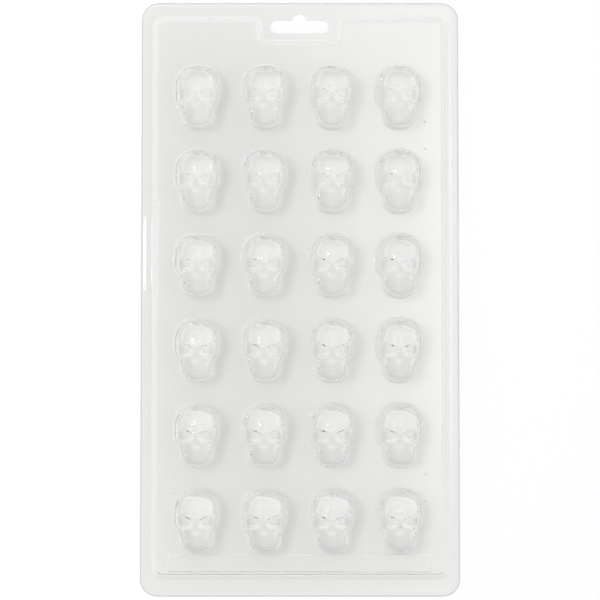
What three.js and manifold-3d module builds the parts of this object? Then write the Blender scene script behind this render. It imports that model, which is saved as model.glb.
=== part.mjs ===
// A clear vacuum-formed sweet mould: one thin plastic sheet with rows of small skull-shaped
// cavities, a raised panel around them, a flat flange and a tab with a hang slot.
// Millimetres, +Z up. The sheet lies on its flange with the backs of the cavities upwards,
// +Y points to the hang slot, and the origin is under the middle of the sheet.

import * as THREE from 'three';
import { mergeVertices } from 'three/addons/utils/BufferGeometryUtils.js';
import Module from 'manifold-3d';

const wasm = await Module();
wasm.setup();

// The sheet
const SHEET_WIDTH = 167;
const SHEET_LENGTH = 312;
const SHEET_THICKNESS = 0.6;
const SHEET_CORNER_RADIUS = 9;

// The flat flange, from the trimmed edge to the foot of the step
const FLANGE_SIDE = 5.9;
const FLANGE_TOP = 7.5;
const FLANGE_BOTTOM = 9;

// The sloping step that lifts the panel above the flange
const STEP_HEIGHT = 3.5;
const STEP_RUN = 3;
const PANEL_CORNER_RADIUS = 2.6;

// The hang tab: a bay in the step, level with the flange, with the punched slot in it
const SLOT_LENGTH = 31;
const SLOT_HEIGHT = 7;
const SLOT_CROWN_HEIGHT = 3.3;
const SLOT_CROWN_RADIUS = 3.7;
const SLOT_CROWN_FLARE = 1.5;
const SLOT_TOP_MARGIN = 5.8;
const SLOT_END_MARGIN = 4;
const SLOT_LOWER_MARGIN = 3.7;
const TAB_CORNER_RADIUS = 2.6;
const TAB_SHIFT = -0.4;

// The plain raised strip along the bottom of the panel
const STRIP_HEIGHT = 10.8;
const STRIP_RELIEF = 0.5;
const STRIP_CORNER_RADIUS = 2;
const STRIP_SIDE_MARGIN = 5.6;

// The grid of cavities
const COLUMNS = 4;
const ROWS = 6;
const GRID_SHIFT = -1;
const SIDE_MARGIN = 4.3;
const TAB_TO_GRID = 5.6;
const STRIP_TO_SKULL = 0.3;

// One skull cavity: its outline where it meets the panel, from the chin upwards
const SKULL_LENGTH = 33.8;
const CRANIUM_WIDTH = 24.2;
const CRANIUM_DOME = 11.9;
const CRANIUM_FULLNESS = 2.25;
const CHEEK_TUCK = 0.4;
const CHEEK_STEP = 2.8;
const JAW_TOP_WIDTH = 18.4;
const JAW_BOTTOM_WIDTH = 16.6;
const JAW_LENGTH = 11;
const CHIN_ROUND = 5.4;

// One skull cavity: its rise above the panel
const WALL_RUN = 1.7;
const WALL_HEIGHT = 6;
const FACE_HEIGHT = 11.4;
const FACE_FULLNESS = 2.4;
const CHIN_FALL = 0.7;
const CHIN_FALL_START = 0;

// The face: how far each hollow sinks into the dome, its place and its reach
const EYE = { depth: 2.2, x: 5.4, y: -0.6, reachX: 2.6, reachY: 2.7 };
const NOSE = { depth: 1.2, x: 0, y: -4.4, reachX: 1.6, reachY: 2.2 };

// Small round pips beside the grid: a pair at each side, near the top and near the bottom
const PIP_WIDTH = 1.6;
const PIP_TOP_WIDTH = 0.8;
const PIP_HEIGHT = 0.8;
const PIP_TO_STEP = 9;
const PIP_GAP = 14.1;
const PIP_SPREAD = 3;
const PIP_STAGGER = 4.1;
const PIP_RISE = 0.6;

// How finely the curves are drawn
const CORNER_STEPS = 4;
const EDGE_CORNER_STEPS = 8;
const SLOT_ARC_STEPS = 5;
const CRANIUM_STEPS = 6;
const CHIN_STEPS = 3;
const FACE_RINGS = [0.8, 0.52, 0.26];
const PIP_SIDES = 10;

// How far a cutting tool reaches past the faces that it cuts, and how near two points
// of an outline lie when they count as one
const OVERCUT = 5;
const SAME_POINT = 0.001;

// Places that follow from the sizes
const panelTop = STEP_HEIGHT + SHEET_THICKNESS;
const sheetTopEdge = SHEET_LENGTH / 2;
const sheetSide = SHEET_WIDTH / 2;
const crestSide = sheetSide - FLANGE_SIDE - STEP_RUN;
const crestTop = sheetTopEdge - FLANGE_TOP - STEP_RUN;
const crestBottom = -sheetTopEdge + FLANGE_BOTTOM + STEP_RUN;
const slotMiddle = sheetTopEdge - SLOT_TOP_MARGIN - SLOT_CROWN_HEIGHT - SLOT_HEIGHT / 2;
const tabHalfWidth = SLOT_LENGTH / 2 + SLOT_END_MARGIN;
const tabFloor = slotMiddle - SLOT_HEIGHT / 2 - SLOT_LOWER_MARGIN;
const stripTop = crestBottom + STRIP_HEIGHT;
const pitchX = (2 * (crestSide - SIDE_MARGIN)) / COLUMNS;
const gridTop = tabFloor - STEP_RUN - TAB_TO_GRID;
const lastRow = stripTop + STRIP_TO_SKULL + SKULL_LENGTH / 2;
const pitchY = (gridTop - lastRow) / (ROWS - 0.5);
const gridLeft = GRID_SHIFT - (COLUMNS * pitchX) / 2;
const gridRight = GRID_SHIFT + (COLUMNS * pitchX) / 2;
const tabReach = tabHalfWidth + 2 * STEP_RUN + PANEL_CORNER_RADIUS;

const clearPlastic = {
  color: 0xe9ece6,
  roughness: 0.1,
  metalness: 0,
  transparent: true,
  opacity: 0.35,
  side: THREE.DoubleSide,
};

// Turns a closed mesh into a solid that can be joined and cut.
function solidFrom(geometry) {
  geometry.deleteAttribute('normal');
  geometry.deleteAttribute('uv');
  const merged = mergeVertices(geometry);
  return new wasm.Manifold(new wasm.Mesh({
    numProp: 3,
    vertProperties: new Float32Array(merged.attributes.position.array),
    triVerts: new Uint32Array(merged.index.array),
  }));
}

// Turns a solid back into a mesh's geometry.
function geometryFrom(solid) {
  const mesh = solid.getMesh();
  const geometry = new THREE.BufferGeometry();
  geometry.setAttribute('position', new THREE.BufferAttribute(mesh.vertProperties, 3));
  geometry.setIndex(new THREE.BufferAttribute(mesh.triVerts, 1));
  geometry.computeVertexNormals();
  return geometry;
}

// A box between two corners.
function block(low, high) {
  const size = high.map((value, i) => value - low[i]);
  const middle = high.map((value, i) => (value + low[i]) / 2);
  return solidFrom(new THREE.BoxGeometry(...size).translate(...middle));
}

// An outline with square corners rounded: each corner is [x, y, radius].
function roundedOutline(corners, steps) {
  const points = [];
  corners.forEach(([x, y, radius], i) => {
    const corner = new THREE.Vector2(x, y);
    const before = new THREE.Vector2(...corners.at(i - 1));
    const after = new THREE.Vector2(...corners[(i + 1) % corners.length]);
    const back = before.sub(corner).normalize();
    const on = after.sub(corner).normalize();
    for (let k = 0; k <= steps; k++) {
      const turn = (Math.PI / 2) * (k / steps);
      const point = corner.clone();
      point.addScaledVector(on, radius * (1 - Math.cos(turn)));
      point.addScaledVector(back, radius * (1 - Math.sin(turn)));
      points.push(point);
    }
  });
  return points;
}

// An upright solid of one outline between two heights.
function prism(outline, bottom, top) {
  const shape = new THREE.Shape(outline);
  const settings = { depth: top - bottom, bevelEnabled: false };
  return solidFrom(new THREE.ExtrudeGeometry(shape, settings).translate(0, 0, bottom));
}

// A closed solid through a stack of rings with the same number of points each.
// A ring is a list of Vector3; the first ring is filled flat and the last one ends in a tip.
function stack(rings, tip) {
  const count = rings[0].length;
  const points = [...rings.flat(), tip];
  const tipIndex = points.length - 1;
  const triangles = [];
  const floor = THREE.ShapeUtils.triangulateShape(rings[0], []);
  floor.forEach(([a, b, c]) => triangles.push(c, b, a));
  for (let i = 0; i < count; i++) {
    const next = (i + 1) % count;
    for (let ring = 0; ring < rings.length - 1; ring++) {
      const low = ring * count;
      const high = low + count;
      triangles.push(low + i, low + next, high + next);
      triangles.push(low + i, high + next, high + i);
    }
    const last = (rings.length - 1) * count;
    triangles.push(last + i, last + next, tipIndex);
  }
  const geometry = new THREE.BufferGeometry().setFromPoints(points);
  geometry.setIndex(triangles);
  return solidFrom(geometry);
}

// A solid whose sides slope from one outline to another with as many points.
function slopedSolid(lowOutline, lowHeight, highOutline, highHeight) {
  const count = lowOutline.length;
  const low = lowOutline.map((p) => new THREE.Vector3(p.x, p.y, lowHeight));
  const high = highOutline.map((p) => new THREE.Vector3(p.x, p.y, highHeight));
  const triangles = [];
  THREE.ShapeUtils.triangulateShape(lowOutline, []).forEach(([a, b, c]) => {
    triangles.push(c, b, a);
  });
  THREE.ShapeUtils.triangulateShape(highOutline, []).forEach(([a, b, c]) => {
    triangles.push(a + count, b + count, c + count);
  });
  for (let i = 0; i < count; i++) {
    const next = (i + 1) % count;
    triangles.push(i, next, next + count);
    triangles.push(i, next + count, i + count);
  }
  const geometry = new THREE.BufferGeometry().setFromPoints([...low, ...high]);
  geometry.setIndex(triangles);
  return solidFrom(geometry);
}

// The panel's outline, with the bay of the hang tab in its top edge, counterclockwise.
// grow is how far outside the top of the step it lies.
function panelOutline(grow) {
  const outer = PANEL_CORNER_RADIUS + grow;
  const bay = TAB_CORNER_RADIUS + STEP_RUN - grow;
  const side = crestSide + grow;
  const top = crestTop + grow;
  const bottom = crestBottom - grow;
  const bayLeft = TAB_SHIFT - tabHalfWidth - STEP_RUN + grow;
  const bayRight = TAB_SHIFT + tabHalfWidth + STEP_RUN - grow;
  const bayFloor = tabFloor - STEP_RUN + grow;
  return roundedOutline([
    [-side, bottom, outer],
    [side, bottom, outer],
    [side, top, outer],
    [bayRight, top, outer],
    [bayRight, bayFloor, bay],
    [bayLeft, bayFloor, bay],
    [bayLeft, top, outer],
    [-side, top, outer],
  ], CORNER_STEPS);
}

// The hang slot: round ends, and a crown with flared feet in the middle of its upper edge.
function slotOutline() {
  const endRadius = SLOT_HEIGHT / 2;
  const endMiddle = SLOT_LENGTH / 2 - endRadius;
  const crownMiddle = endRadius + SLOT_CROWN_HEIGHT - SLOT_CROWN_RADIUS;
  const reach = SLOT_CROWN_RADIUS + SLOT_CROWN_FLARE;
  const rise = endRadius + SLOT_CROWN_FLARE - crownMiddle;
  const lean = Math.asin(rise / reach);
  const footX = reach * Math.cos(lean);
  const footY = endRadius + SLOT_CROWN_FLARE;
  const quarter = Math.PI / 2;
  const path = new THREE.Path();
  path.absarc(endMiddle, 0, endRadius, -quarter, quarter, false);
  path.absarc(footX, footY, SLOT_CROWN_FLARE, -quarter, -Math.PI + lean, true);
  path.absarc(0, crownMiddle, SLOT_CROWN_RADIUS, lean, Math.PI - lean, false);
  path.absarc(-footX, footY, SLOT_CROWN_FLARE, -lean, -quarter, true);
  path.absarc(-endMiddle, 0, endRadius, quarter, 3 * quarter, false);
  const place = new THREE.Vector2(TAB_SHIFT, slotMiddle);
  const points = path.getPoints(SLOT_ARC_STEPS).map((point) => point.add(place));
  return points.filter((point, i) => point.distanceTo(points.at(i - 1)) > SAME_POINT);
}

// The raised strip's outline, drawn in by a margin.
function stripOutline(margin) {
  const side = crestSide - STRIP_SIDE_MARGIN - margin;
  const radius = STRIP_CORNER_RADIUS - margin;
  return roundedOutline([
    [-side, crestBottom + margin, radius],
    [side, crestBottom + margin, radius],
    [side, stripTop - margin, radius],
    [-side, stripTop - margin, radius],
  ], CORNER_STEPS);
}

// Where the pips stand: beside the gap between the first two rows and between the last two,
// a little further out than each gap, and higher at the left than at the right.
function pipPlaces() {
  const places = [];
  const firstPair = gridTop - pitchY + PIP_SPREAD;
  const lastPair = lastRow + pitchY / 2 - PIP_SPREAD;
  [-1, 1].forEach((side) => {
    [firstPair, lastPair].forEach((pair) => {
      [-1, 1].forEach((twin) => {
        const x = side * (crestSide - PIP_TO_STEP);
        const y = pair + PIP_RISE - (side * PIP_STAGGER) / 2 + (twin * PIP_GAP) / 2;
        places.push([x, y]);
      });
    });
  });
  return places;
}

function pip([x, y]) {
  const root = SHEET_THICKNESS / 2;
  const height = PIP_HEIGHT + root;
  const cone = new THREE.CylinderGeometry(PIP_TOP_WIDTH / 2, PIP_WIDTH / 2, height, PIP_SIDES);
  cone.rotateX(Math.PI / 2);
  cone.translate(x, y, panelTop - root + height / 2);
  return solidFrom(cone);
}

// The sheet without its cavities: flange, step, panel, hang slot, raised strip and pips.
function formedSheet() {
  const edge = roundedOutline([
    [-sheetSide, -sheetTopEdge, SHEET_CORNER_RADIUS],
    [sheetSide, -sheetTopEdge, SHEET_CORNER_RADIUS],
    [sheetSide, sheetTopEdge, SHEET_CORNER_RADIUS],
    [-sheetSide, sheetTopEdge, SHEET_CORNER_RADIUS],
  ], EDGE_CORNER_STEPS);
  const slope = Math.atan2(STEP_HEIGHT, STEP_RUN);
  const fold = SHEET_THICKNESS * Math.tan(slope / 2);
  const flange = prism(edge, 0, SHEET_THICKNESS);
  const plinth = prism(panelOutline(STEP_RUN), 0, SHEET_THICKNESS);
  const rise = slopedSolid(panelOutline(STEP_RUN), SHEET_THICKNESS, panelOutline(0), panelTop);
  const hollow = slopedSolid(panelOutline(STEP_RUN - fold), 0, panelOutline(-fold), STEP_HEIGHT);
  const mouth = prism(panelOutline(STEP_RUN - fold), -OVERCUT, 0);
  const strip = prism(stripOutline(0), STEP_HEIGHT + SHEET_THICKNESS / 2, panelTop + STRIP_RELIEF);
  const underStrip = prism(stripOutline(SHEET_THICKNESS), -OVERCUT, STEP_HEIGHT + STRIP_RELIEF);
  const slot = prism(slotOutline(), -OVERCUT, OVERCUT);
  let sheet = flange.add(plinth).add(rise).subtract(hollow).subtract(mouth);
  sheet = sheet.add(strip).subtract(underStrip).subtract(slot);
  pipPlaces().forEach((place) => {
    sheet = sheet.add(pip(place));
  });
  return sheet;
}

// The skull's outline at the panel, counterclockwise from the crown of the head.
function skullOutline() {
  const chin = -SKULL_LENGTH / 2;
  const jawTop = chin + JAW_LENGTH;
  const cheek = jawTop + CHEEK_STEP;
  const waist = SKULL_LENGTH / 2 - CRANIUM_DOME;
  const left = [];
  for (let k = 0; k <= CRANIUM_STEPS; k++) {
    const turn = (Math.PI / 2) * (k / CRANIUM_STEPS);
    const power = 2 / CRANIUM_FULLNESS;
    const x = (-CRANIUM_WIDTH / 2) * Math.sin(turn) ** power;
    const y = waist + CRANIUM_DOME * Math.max(0, Math.cos(turn)) ** power;
    left.push(new THREE.Vector2(x, y));
  }
  left.push(new THREE.Vector2(CHEEK_TUCK - CRANIUM_WIDTH / 2, cheek));
  left.push(new THREE.Vector2(-JAW_TOP_WIDTH / 2, jawTop));
  for (let k = 0; k <= CHIN_STEPS; k++) {
    const turn = (Math.PI / 2) * (k / CHIN_STEPS);
    const x = (-JAW_BOTTOM_WIDTH / 2) * Math.cos(turn);
    left.push(new THREE.Vector2(x, chin + CHIN_ROUND * (1 - Math.sin(turn))));
  }
  const right = left.slice(1, -1).reverse().map((p) => new THREE.Vector2(-p.x, p.y));
  return [...left, ...right];
}

// One hollow of the face, as a smooth dent.
function dent(hollow, x, y) {
  const across = (Math.abs(x) - hollow.x) / hollow.reachX;
  const along = (y - hollow.y) / hollow.reachY;
  return hollow.depth * Math.exp(-(across ** 2) - along ** 2);
}

// The dome's rise above its wall. share is 1 at the top of the wall and 0 in the middle.
function domeRise(share) {
  return (FACE_HEIGHT - WALL_HEIGHT) * (1 - share ** FACE_FULLNESS);
}

// The face's height above the panel, with its hollows, falling away to the chin.
function faceHeight(share, x, y) {
  const toChin = THREE.MathUtils.smoothstep(-y, CHIN_FALL_START, SKULL_LENGTH / 2);
  const dome = domeRise(share) * (1 - CHIN_FALL * toChin);
  return WALL_HEIGHT + dome - dent(EYE, x, y) - dent(NOSE, x, y);
}

// The rings of the skull's skin, drawn in by inset and lowered by sink at each ring.
function skullRings(insets, sinks) {
  const outline = skullOutline();
  const drawnIn = (point, distance) => point.clone().setLength(point.length() - distance);
  const at = (point, height) => new THREE.Vector3(point.x, point.y, panelTop + height);
  const rings = [outline.map((p) => at(drawnIn(p, insets[0]), -sinks[0]))];
  const wallTop = outline.map((p) => drawnIn(p, WALL_RUN));
  rings.push(wallTop.map((p) => at(drawnIn(p, insets[1]), WALL_HEIGHT - sinks[1])));
  FACE_RINGS.forEach((share, i) => {
    rings.push(wallTop.map((p) => {
      const q = p.clone().multiplyScalar(share);
      return at(drawnIn(q, insets[i + 2]), faceHeight(share, q.x, q.y) - sinks[i + 2]);
    }));
  });
  const tip = at(new THREE.Vector2(0, 0), faceHeight(0, 0, 0) - sinks.at(-1));
  return { rings, tip };
}

// How far the skin's inner face lies inside its outer one at each ring, and below it:
// each is the outer profile's corner moved square to both its slopes by the thickness.
function innerOffsets() {
  const radius = CRANIUM_WIDTH / 2 - WALL_RUN;
  const shares = [1, ...FACE_RINGS, 0];
  const runs = [radius + WALL_RUN, ...shares.map((share) => share * radius)];
  const heights = [0, ...shares.map((share) => WALL_HEIGHT + domeRise(share))];
  const slopes = [0];
  for (let i = 0; i < runs.length - 1; i++) {
    slopes.push(Math.atan2(heights[i + 1] - heights[i], runs[i] - runs[i + 1]));
  }
  slopes.push(0);
  const insets = [];
  const sinks = [];
  runs.forEach((run, i) => {
    const middle = (slopes[i] + slopes[i + 1]) / 2;
    const half = (slopes[i + 1] - slopes[i]) / 2;
    insets.push((SHEET_THICKNESS * Math.sin(middle)) / Math.cos(half));
    sinks.push((SHEET_THICKNESS * Math.cos(middle)) / Math.cos(half));
  });
  return { insets, sinks };
}

// The skull's outer form, and the hollow inside it, both standing on a flat foot.
function skullForm(insets, sinks, footHeight) {
  const { rings, tip } = skullRings(insets, sinks);
  const foot = rings[0].map((p) => new THREE.Vector3(p.x, p.y, footHeight));
  return stack([foot, ...rings], tip);
}

const inner = innerOffsets();
const noOffset = inner.insets.map(() => 0);
const skullOutside = skullForm(noOffset, noOffset, panelTop - SHEET_THICKNESS / 2);
const skullInside = skullForm(inner.insets, inner.sinks, panelTop - SHEET_THICKNESS - OVERCUT);
const sheet = formedSheet();

// The part of the plain sheet that lies between two corners in plan.
function sheetBetween(lowX, lowY, highX, highY) {
  const floor = -OVERCUT;
  const ceiling = panelTop + OVERCUT;
  return sheet.intersect(block([lowX, lowY, floor], [highX, highY, ceiling]));
}

function namedMesh(name, solid) {
  const mesh = new THREE.Mesh(geometryFrom(solid), new THREE.MeshStandardMaterial(clearPlastic));
  mesh.name = name;
  return mesh;
}

// One cavity with the square of panel around it, modelled about the cavity's own middle.
function cavity(row, column) {
  const x = gridLeft + (column - 0.5) * pitchX;
  const y = lastRow + (ROWS - row) * pitchY;
  const lowY = row === ROWS ? stripTop : y - pitchY / 2;
  const square = sheetBetween(x - pitchX / 2, lowY, x + pitchX / 2, y + pitchY / 2);
  const skin = square.translate([-x, -y, 0]).add(skullOutside).subtract(skullInside);
  const mesh = namedMesh(`skull_cavity_r${row}_c${column}`, skin);
  mesh.position.set(x, y, 0);
  return mesh;
}

function cavityRow(row) {
  const group = new THREE.Group();
  for (let column = 1; column <= COLUMNS; column++) {
    group.add(cavity(row, column));
  }
  return group;
}

// The border of the mould around the grid: flange, step and the margin of the panel.
function border() {
  const group = new THREE.Group();
  const tabLeft = TAB_SHIFT - tabReach;
  const tabRight = TAB_SHIFT + tabReach;
  const pieces = {
    hang_tab: [tabLeft, gridTop, tabRight, sheetTopEdge],
    top_left_rim: [-sheetSide, gridTop, tabLeft, sheetTopEdge],
    top_right_rim: [tabRight, gridTop, sheetSide, sheetTopEdge],
    left_rim: [-sheetSide, stripTop, gridLeft, gridTop],
    right_rim: [gridRight, stripTop, sheetSide, gridTop],
    bottom_rim: [-sheetSide, -sheetTopEdge, sheetSide, stripTop],
  };
  Object.entries(pieces).forEach(([name, corners]) => {
    group.add(namedMesh(name, sheetBetween(...corners)));
  });
  return group;
}

const mould = new THREE.Group();
mould.add(border());
for (let row = 1; row <= ROWS; row++) {
  mould.add(cavityRow(row));
}

export default mould;
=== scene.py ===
# %% [markdown]
# # A clear sweet mould with 24 skull cavities
#
# The real object is one thin sheet of clear plastic. It was heated, drawn by vacuum over a
# metal tool, cooled and punched out. So there is one piece to model: a flat flange, a sloping
# step, a raised panel, a bay with a hang slot, a plain raised strip, eight pips and 24 skulls.
#
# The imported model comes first. It fixes where everything is and how large it may be.

# %% Load the frame
import math

import bpy
import numpy as np
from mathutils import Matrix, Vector


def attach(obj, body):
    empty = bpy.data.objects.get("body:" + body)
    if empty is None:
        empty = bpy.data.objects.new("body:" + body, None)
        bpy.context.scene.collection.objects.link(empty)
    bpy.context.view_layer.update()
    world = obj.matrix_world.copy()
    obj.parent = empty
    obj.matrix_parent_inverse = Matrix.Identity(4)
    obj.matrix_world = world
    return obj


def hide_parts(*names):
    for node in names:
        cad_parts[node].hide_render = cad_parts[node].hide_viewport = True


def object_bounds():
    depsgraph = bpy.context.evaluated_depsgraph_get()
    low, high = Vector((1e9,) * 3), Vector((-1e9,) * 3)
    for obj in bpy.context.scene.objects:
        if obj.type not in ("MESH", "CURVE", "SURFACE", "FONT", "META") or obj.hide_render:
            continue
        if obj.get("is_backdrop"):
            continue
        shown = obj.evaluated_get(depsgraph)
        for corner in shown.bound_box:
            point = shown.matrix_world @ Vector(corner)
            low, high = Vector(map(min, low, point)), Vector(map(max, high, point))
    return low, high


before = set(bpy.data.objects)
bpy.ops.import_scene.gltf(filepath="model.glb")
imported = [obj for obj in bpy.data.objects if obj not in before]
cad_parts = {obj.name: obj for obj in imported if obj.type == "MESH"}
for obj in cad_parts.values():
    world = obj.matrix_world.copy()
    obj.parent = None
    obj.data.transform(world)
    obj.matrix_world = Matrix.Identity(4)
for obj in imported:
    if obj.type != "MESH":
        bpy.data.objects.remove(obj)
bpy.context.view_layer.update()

# %% [markdown]
# Loading leaves the frame's nodes selected, and an operator acts on all that is selected.
# So they are deselected before anything is made. Sizes in this lesson are written in
# millimetres, as on a drawing, and turned to metres when a vertex is placed.

# %% Units and a clean selection
MM = 0.001
bpy.ops.object.select_all(action="DESELECT")
print("selected", len(bpy.context.selected_objects))

# %% [markdown]
# ## Camera
#
# The mould was photographed from nearly straight above, about 0.8 m away. The short edges
# differ in length by 1.5 %, so the camera leans 2 degrees towards the lower edge. The focal
# length follows from the width that the frame takes in at that distance.

# %% Camera
CAMERA_DISTANCE = 800
CAMERA_LEAN = math.radians(2.1)
FRAME_WIDTH = 315.5
AIM_BELOW_MIDDLE = 1.15

camera_data = bpy.data.cameras.new("camera")
camera_data.lens = camera_data.sensor_width * CAMERA_DISTANCE / FRAME_WIDTH
camera_data.clip_start = 0.05
camera = bpy.data.objects.new("camera", camera_data)
bpy.context.collection.objects.link(camera)
aim = Vector((0, -AIM_BELOW_MIDDLE * MM, 0))
back = Vector((0, -math.sin(CAMERA_LEAN), math.cos(CAMERA_LEAN)))
camera.location = aim + back * CAMERA_DISTANCE * MM
camera.rotation_euler = (CAMERA_LEAN, 0, 0)
bpy.context.scene.camera = camera
print("lens", round(camera_data.lens, 1), "camera at", [round(c, 3) for c in camera.location])

# %% [markdown]
# ## Sizes of the sheet
#
# These are the sizes of the frame, so the sheet lies where the frame says. The outlines are
# rounded rectangles. The panel's outline has a bay in its top edge, where the hang tab is.
# A bevel could round the corners, but an outline of points can also be grown or drawn in.

# %% Sizes of the sheet
SHEET_WIDTH = 167
SHEET_LENGTH = 312
SHEET_CORNER = 9
SHEET_THICKNESS = 0.6
FLANGE_TOP_FACE = SHEET_THICKNESS
PANEL_TOP_FACE = 4.1
CREST_SIDE = 74.6
CREST_TOP = 145.5
CREST_BOTTOM = -144.0
CREST_CORNER = 2.6
STEP_RUN = 3
TAB_MIDDLE = -0.4
TAB_HALF_WIDTH = 19.5
TAB_FLOOR = 136.2


def rounded_outline(corners, steps):
    """Points of an outline whose square corners, each (x, y, radius), are rounded."""
    points = []
    for i, (x, y, radius) in enumerate(corners):
        corner = np.array((x, y), float)
        before = np.array(corners[i - 1][:2], float) - corner
        after = np.array(corners[(i + 1) % len(corners)][:2], float) - corner
        before /= np.linalg.norm(before)
        after /= np.linalg.norm(after)
        for k in range(steps + 1):
            turn = math.pi / 2 * k / steps
            points.append(
                corner
                + before * radius * (1 - math.sin(turn))
                + after * radius * (1 - math.cos(turn))
            )
    return np.array(points)


def panel_outline(grow):
    """The panel's outline with the bay of the tab, grow mm outside the top of the step."""
    outer, bay = CREST_CORNER + grow, CREST_CORNER + STEP_RUN - grow
    side, top, bottom = CREST_SIDE + grow, CREST_TOP + grow, CREST_BOTTOM - grow
    bay_left = TAB_MIDDLE - TAB_HALF_WIDTH - STEP_RUN + grow
    bay_right = TAB_MIDDLE + TAB_HALF_WIDTH + STEP_RUN - grow
    bay_floor = TAB_FLOOR - STEP_RUN + grow
    return rounded_outline(
        [
            (-side, bottom, outer),
            (side, bottom, outer),
            (side, top, outer),
            (bay_right, top, outer),
            (bay_right, bay_floor, bay),
            (bay_left, bay_floor, bay),
            (bay_left, top, outer),
            (-side, top, outer),
        ],
        steps=6,
    )


print("points in the panel's outline", len(panel_outline(0)))

# %% [markdown]
# ## A closed line that grows ring by ring
#
# A formed sheet is a surface that climbs, bends and levels out again along a line. By hand
# this is a circle that is pulled to the outline, then extruded again and again, each new
# ring put in its place. Each vertex carries its number in an attribute, which the extrude
# copies, so every new vertex knows where it belongs.

# %% Helpers for rings
def start_ring(name, points, height):
    """An object with one closed line of edges through points at height, in edit mode."""
    bpy.ops.mesh.primitive_circle_add(vertices=len(points), radius=MM, location=(0, 0, 0))
    ring = bpy.context.object
    ring.name = ring.data.name = name
    number = ring.data.attributes.new("number", "INT", "POINT")
    heights = np.broadcast_to(height, len(points))
    for vertex in ring.data.vertices:
        number.data[vertex.index].value = vertex.index
        x, y = points[vertex.index]
        vertex.co = Vector((x, y, heights[vertex.index])) * MM
    bpy.ops.object.mode_set(mode="EDIT")
    bpy.ops.mesh.select_all(action="SELECT")
    return ring


def next_ring(ring, points, height):
    """Extrudes the selected line and puts each new vertex on its point at height."""
    bpy.ops.mesh.extrude_edges_move()
    bpy.ops.object.mode_set(mode="OBJECT")
    number = ring.data.attributes["number"]
    heights = np.broadcast_to(height, len(points))
    for vertex in ring.data.vertices:
        if vertex.select:
            i = number.data[vertex.index].value
            vertex.co = Vector((*points[i], heights[i])) * MM
    bpy.ops.object.mode_set(mode="EDIT")


def finish_rings(ring):
    """Leaves edit mode and prints what the piece has."""
    bpy.ops.object.mode_set(mode="OBJECT")
    bpy.ops.object.select_all(action="DESELECT")
    print(ring.name, "vertices", len(ring.data.vertices), "faces", len(ring.data.polygons))


# %% [markdown]
# ## The step
#
# The step is a slope of 49 degrees with a soft bend at its top and its foot, because a thin
# sheet can't be drawn to a sharp corner. A bevel modifier could round it, but would also
# change the flat areas. So each bend is an arc of 1 mm radius in the rings themselves. The
# first and the last ring lie just past the bends, on the flat, so that the flat areas stay
# flat to the light.

# %% Step
BEND_RADIUS = 1.0
BEND_STEPS = 4
SUPPORT = 0.3

slope = math.atan2(PANEL_TOP_FACE - FLANGE_TOP_FACE, STEP_RUN)
tangent = BEND_RADIUS * math.tan(slope / 2)
step_profile = [(-tangent - SUPPORT, PANEL_TOP_FACE)]
for k in range(BEND_STEPS + 1):
    turn = slope * k / BEND_STEPS
    drop = BEND_RADIUS * (1 - math.cos(turn))
    step_profile.append((-tangent + BEND_RADIUS * math.sin(turn), PANEL_TOP_FACE - drop))
for k in range(BEND_STEPS, -1, -1):
    turn = slope * k / BEND_STEPS
    rise = BEND_RADIUS * (1 - math.cos(turn))
    before_foot = STEP_RUN + tangent - BEND_RADIUS * math.sin(turn)
    step_profile.append((before_foot, FLANGE_TOP_FACE + rise))
step_profile.append((STEP_RUN + tangent + SUPPORT, FLANGE_TOP_FACE))

step = start_ring("step", panel_outline(step_profile[0][0]), step_profile[0][1])
for grow, height in step_profile[1:]:
    next_ring(step, panel_outline(grow), height)
finish_rings(step)

# %% [markdown]
# ## The trimmed edge
#
# The sheet is punched out with a rounded outline. The punch rounds the upper side of the
# cut a little, and its clamp presses a shallow line 2.6 mm inside the edge. A bevel would
# round the whole edge alike, so the edge is drawn inwards as rings, each at its height.

# %% Edge
CLAMP_LINE_INSIDE = 2.6
CLAMP_LINE_RISE = 0.07
CLAMP_LINE_HALF_WIDTH = 0.45
CUT_ROUNDING_WIDTH = 0.3
CUT_ROUNDING_DROP = 0.2


def edge_outline(inside):
    """The sheet's outline, drawn in by inside mm."""
    side, end = SHEET_WIDTH / 2 - inside, SHEET_LENGTH / 2 - inside
    radius = SHEET_CORNER - inside
    return rounded_outline(
        [(-side, -end, radius), (side, -end, radius), (side, end, radius), (-side, end, radius)],
        steps=10,
    )


edge = start_ring("edge", edge_outline(0), FLANGE_TOP_FACE)
for inside, rise in (
    (CUT_ROUNDING_WIDTH, 0),
    (CLAMP_LINE_INSIDE - CLAMP_LINE_HALF_WIDTH - SUPPORT, 0),
    (CLAMP_LINE_INSIDE - CLAMP_LINE_HALF_WIDTH, 0),
    (CLAMP_LINE_INSIDE, CLAMP_LINE_RISE),
    (CLAMP_LINE_INSIDE + CLAMP_LINE_HALF_WIDTH, 0),
    (CLAMP_LINE_INSIDE + CLAMP_LINE_HALF_WIDTH + SUPPORT, 0),
):
    next_ring(edge, edge_outline(inside), FLANGE_TOP_FACE + rise)
finish_rings(edge)
TRIMMED = -1
for vertex_index in range(len(edge_outline(0))):
    edge.data.attributes["number"].data[vertex_index].value = TRIMMED

# %% [markdown]
# ## The hang slot
#
# A display hook goes through a slot with round ends and a crown in the middle of its upper
# side. A slot cut with a boolean would leave thin faces round it. So it is one closed line
# of arcs here, and the flange is later filled up to that line.

# %% Hang slot
SLOT_MIDDLE = 143.4
SLOT_HALF_LENGTH = 15.5
SLOT_HALF_HEIGHT = 3.5
CROWN_RADIUS = 3.7
CROWN_FLARE = 1.5
CROWN_MIDDLE = 3.1


def arc(middle, radius, start, end, steps):
    """Points on an arc between two angles in radians, its first one left out."""
    turns = [start + (end - start) * (k + 1) / steps for k in range(steps)]
    return [(middle[0] + radius * math.cos(t), middle[1] + radius * math.sin(t)) for t in turns]


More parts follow.
